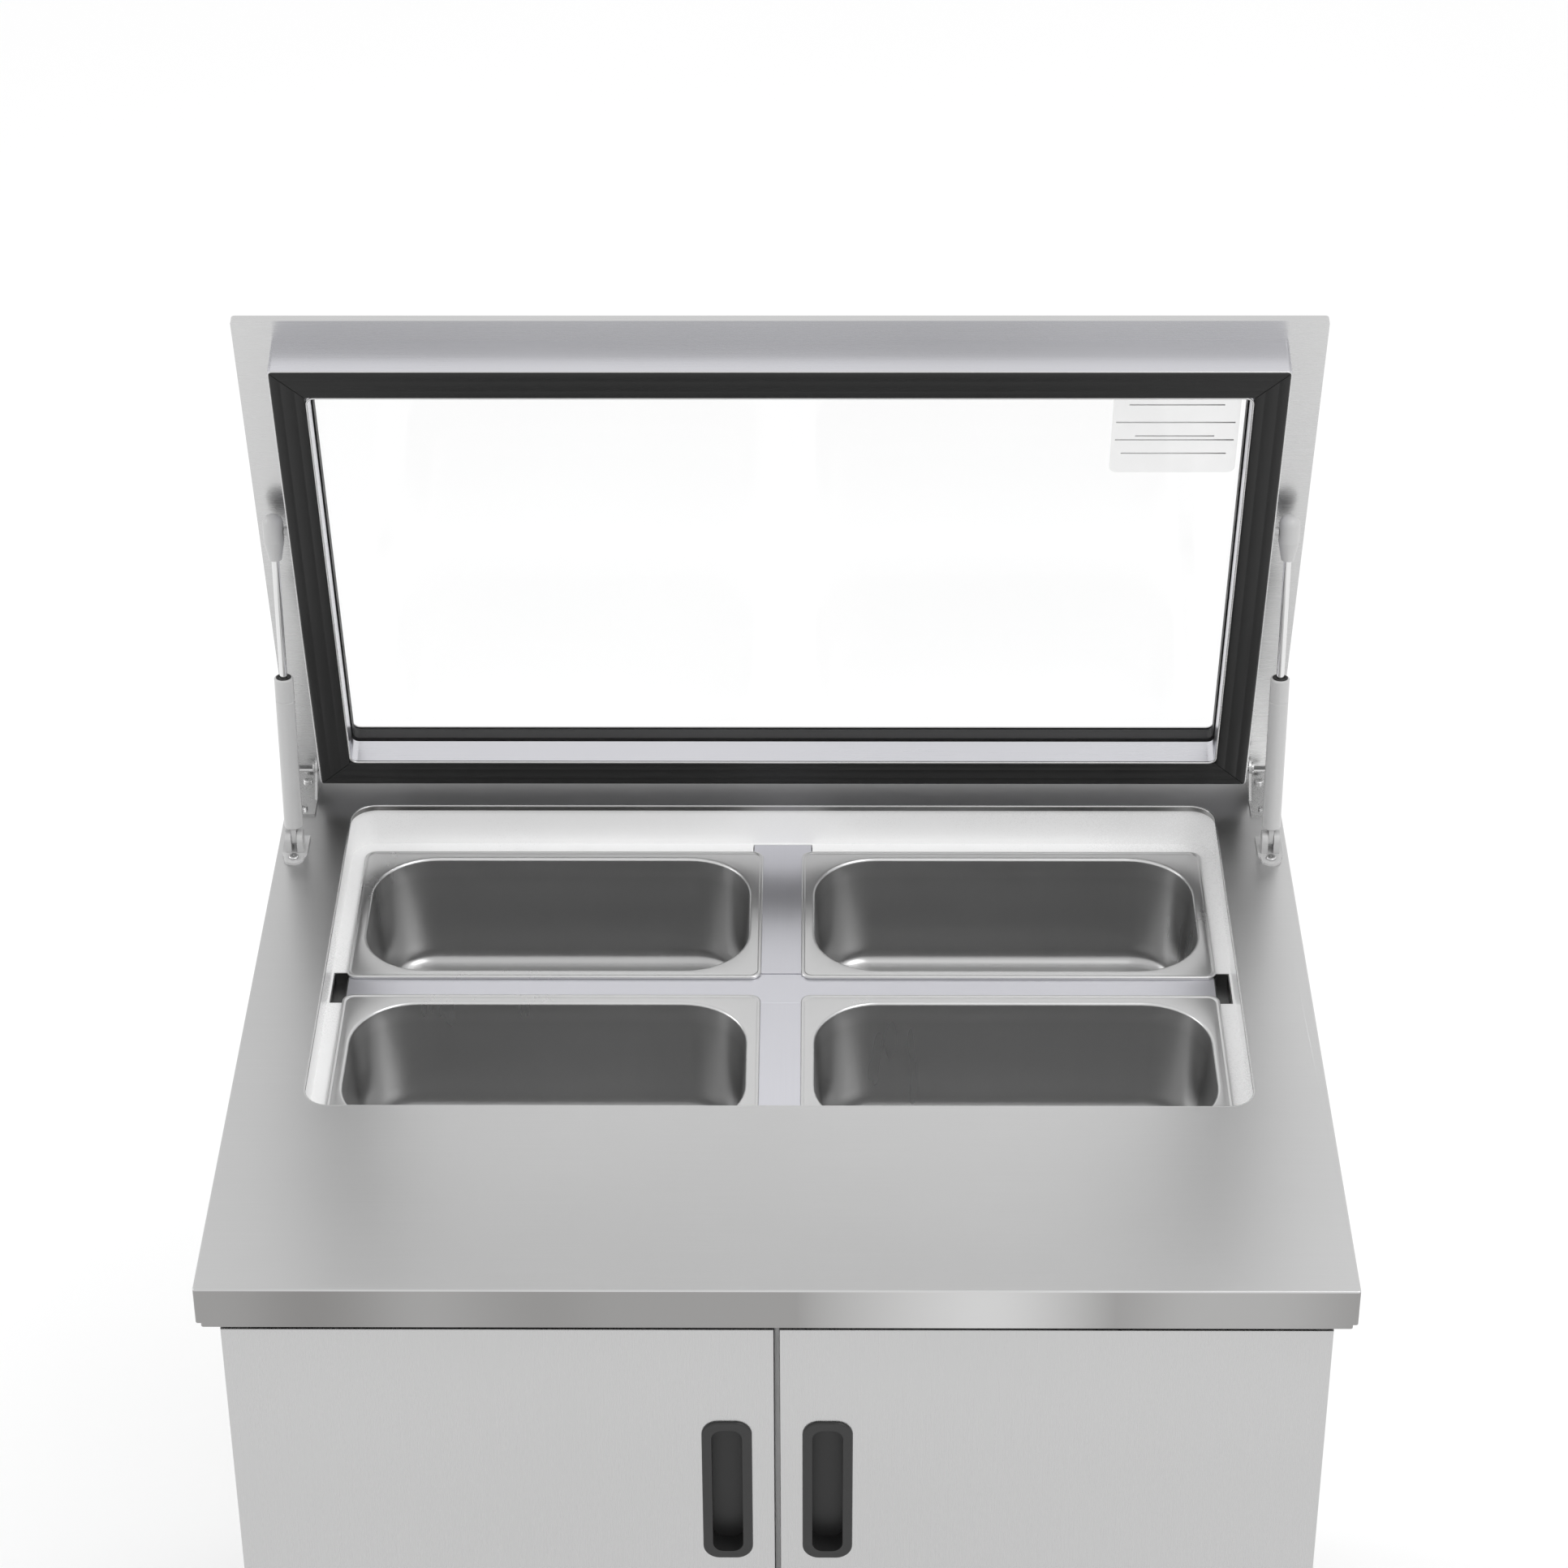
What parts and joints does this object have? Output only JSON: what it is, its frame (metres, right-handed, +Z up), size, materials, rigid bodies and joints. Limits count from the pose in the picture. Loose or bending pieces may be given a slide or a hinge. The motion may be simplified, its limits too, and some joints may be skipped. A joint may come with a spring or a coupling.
{
  "type": "sandwich prep table",
  "caption": "Refrigerated sandwich prep table: steel worktop with a well of food pans under a hinged double-glazed lid on gas struts, over a cabinet with swing doors.",
  "frame": {"origin": "on the floor, under the middle of the worktop", "axes": "+X to the user's right, +Y to the back, +Z up; the user stands on the -Y side"},
  "size_m": [0.81, 0.7, 1.3422],
  "materials": {
    "worktop_steel": "satin",
    "cabinet_steel": "satin",
    "lid_steel": "satin",
    "pan_steel": "satin",
    "hardware_steel": "satin",
    "frame_aluminium": "satin",
    "chrome_rod": "polished",
    "strut_grey": "satin",
    "strut_plastic": "satin",
    "white_plastic": "gloss",
    "black_rubber": "matte",
    "grey_gasket": "matte",
    "glass": "gloss",
    "foam": "matte",
    "black_plastic": "satin",
    "black_paint": "satin",
    "copper": "satin",
    "aluminium_fins": "satin",
    "plated_wire": "satin",
    "galvanised": "matte"
  },
  "bodies": {
    "cabinet": {"worktop": "worktop_steel", "worktop_core": "foam", "well_collar": "white_plastic", "crossbar": "lid_steel", "front_divider": "lid_steel", "rear_divider": "lid_steel", "hinge_brackets": "hardware_steel", "top_screws": "hardware_steel", "strut_feet": "strut_grey", "cabinet_shell": "cabinet_steel", "cabinet_insulation": "foam", "inner_liner": "white_plastic", "front_frame": "frame_aluminium", "base_tray": "galvanised", "levelling_feet": "hardware_steel", "door_hinges": "hardware_steel", "front_grille": "cabinet_steel", "rear_grille": "black_paint", "power_inlet": "black_plastic", "control_bezel": "black_plastic", "shelf_supports": "white_plastic", "compressor": "black_paint", "condenser_coil": "aluminium_fins", "condenser_fan_shroud": "black_paint", "refrigerant_lines": "copper", "evaporator_coil": "aluminium_fins", "evaporator_cover": "white_plastic", "evaporator_fan_motor": "black_plastic"},
    "lid": {"lid_skin": "lid_steel", "lid_frame": "lid_steel", "lid_gasket": "black_rubber", "lid_inner_pane": "glass", "lid_outer_pane": "glass", "lid_glass_spacer": "black_rubber", "lid_insulation": "foam", "lid_hinge_plates": "hardware_steel", "lid_strut_studs": "strut_grey"},
    "left_strut": {"left_strut_tube": "strut_grey"},
    "left_rod": {"left_strut_rod": "chrome_rod", "left_strut_socket": "strut_plastic"},
    "right_strut": {"right_strut_tube": "strut_grey"},
    "right_rod": {"right_strut_rod": "chrome_rod", "right_strut_socket": "strut_plastic"},
    "front_left_pan": {"front_left_pan": "pan_steel"},
    "front_right_pan": {"front_right_pan": "pan_steel"},
    "rear_left_pan": {"rear_left_pan": "pan_steel"},
    "rear_right_pan": {"rear_right_pan": "pan_steel"},
    "left_door": {"left_door_skin": "cabinet_steel", "left_door_inner": "foam", "left_door_gasket": "grey_gasket", "left_door_grip": "black_plastic"},
    "right_door": {"right_door_skin": "cabinet_steel", "right_door_inner": "foam", "right_door_gasket": "grey_gasket", "right_door_grip": "black_plastic"},
    "shelf": {"wire_shelf": "plated_wire"},
    "condenser_fan": {"condenser_fan": "black_plastic"},
    "evaporator_fan": {"evaporator_fan": "black_plastic"},
    "thermostat_knob": {"thermostat_knob": "black_plastic"},
    "power_rocker": {"power_rocker": "black_plastic"}
  },
  "joints": [
    {"name": "lid_hinge", "type": "hinge", "parent": "cabinet", "child": "lid", "pos_m": [0, 0.287, 0.8803], "axis": [-1, 0, 0], "range_deg": [-75, 0], "stiffness_Nm_per_rad": 8, "springref_deg": 63.03},
    {"name": "left_strut_pivot", "type": "hinge", "parent": "cabinet", "child": "left_strut", "pos_m": [-0.3905, 0.1954, 0.872], "axis": [-1, 0, 0], "range_deg": [-92.1, 0]},
    {"name": "left_strut_slide", "type": "slide", "parent": "left_strut", "child": "left_rod", "axis": [0, 0.0685, 0.9977], "range_m": [-0.0906, 0]},
    {"name": "right_strut_pivot", "type": "hinge", "parent": "cabinet", "child": "right_strut", "pos_m": [0.3905, 0.1954, 0.872], "axis": [-1, 0, 0], "range_deg": [-92.1, 0]},
    {"name": "right_strut_slide", "type": "slide", "parent": "right_strut", "child": "right_rod", "axis": [0, 0.0685, 0.9977], "range_m": [-0.0906, 0]},
    {"name": "front_left_pan_lift", "type": "slide", "parent": "cabinet", "child": "front_left_pan", "axis": [0, 0, 1], "range_m": [0, 0.1]},
    {"name": "front_right_pan_lift", "type": "slide", "parent": "cabinet", "child": "front_right_pan", "axis": [0, 0, 1], "range_m": [0, 0.1]},
    {"name": "rear_left_pan_lift", "type": "slide", "parent": "cabinet", "child": "rear_left_pan", "axis": [0, 0, 1], "range_m": [0, 0.1]},
    {"name": "rear_right_pan_lift", "type": "slide", "parent": "cabinet", "child": "rear_right_pan", "axis": [0, 0, 1], "range_m": [0, 0.1]},
    {"name": "left_door_hinge", "type": "hinge", "parent": "cabinet", "child": "left_door", "pos_m": [-0.378, -0.322, 0.5], "axis": [0, 0, -1], "range_deg": [0, 110], "stiffness_Nm_per_rad": 1.2},
    {"name": "right_door_hinge", "type": "hinge", "parent": "cabinet", "child": "right_door", "pos_m": [0.378, -0.322, 0.5], "axis": [0, 0, 1], "range_deg": [0, 110], "stiffness_Nm_per_rad": 1.2},
    {"name": "shelf_lift", "type": "slide", "parent": "cabinet", "child": "shelf", "axis": [0, 0, 1], "range_m": [0, 0.03]},
    {"name": "condenser_fan_spin", "type": "hinge", "parent": "cabinet", "child": "condenser_fan", "pos_m": [0.06, -0.204, 0.182], "axis": [0, -1, 0], "continuous": true},
    {"name": "evaporator_fan_spin", "type": "hinge", "parent": "cabinet", "child": "evaporator_fan", "pos_m": [0.115, 0.253, 0.62], "axis": [0, -1, 0], "continuous": true},
    {"name": "thermostat_turn", "type": "hinge", "parent": "cabinet", "child": "thermostat_knob", "pos_m": [0.315, -0.343, 0.195], "axis": [0, -1, 0], "range_deg": [0, 270]},
    {"name": "power_rocker_tilt", "type": "hinge", "parent": "cabinet", "child": "power_rocker", "pos_m": [0.235, -0.34, 0.195], "axis": [1, 0, 0], "range_deg": [0, 16]}
  ],
  "couplings": [
    {"joint": "left_strut_pivot", "follows": "lid_hinge", "ratio": 1.2275},
    {"joint": "left_strut_slide", "follows": "lid_hinge", "m_per_rad": 0.069151},
    {"joint": "right_strut_pivot", "follows": "lid_hinge", "ratio": 1.2275},
    {"joint": "right_strut_slide", "follows": "lid_hinge", "m_per_rad": 0.069151}
  ]
}
